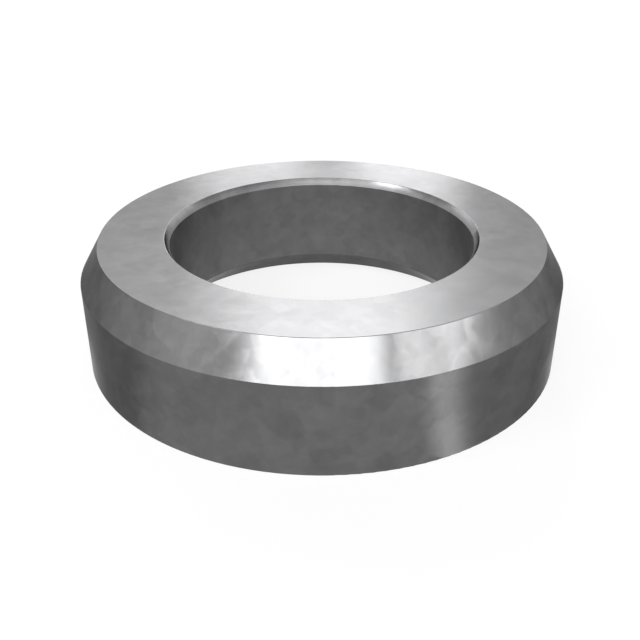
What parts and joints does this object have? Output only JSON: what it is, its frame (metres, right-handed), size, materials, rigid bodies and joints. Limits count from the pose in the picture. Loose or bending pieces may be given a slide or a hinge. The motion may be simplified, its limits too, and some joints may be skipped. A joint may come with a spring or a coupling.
{
  "type": "steel spacer",
  "caption": "Round turned steel spacer ring with a through bore, a long chamfer round the upper face and a wide chamfer at the lower mouth.",
  "frame": {"origin": "centre of the lower flat face, on the bore's axis", "axes": "+Z along the bore's axis, from the lower face to the chamfered upper face; X and Y are any two directions across it"},
  "size_m": [0.06, 0.06, 0.015],
  "materials": {
    "steel": "bare turned steel, satin, with faint cloudy patches"
  },
  "bodies": {
    "root": {"spacer": "steel"}
  },
  "joints": []
}
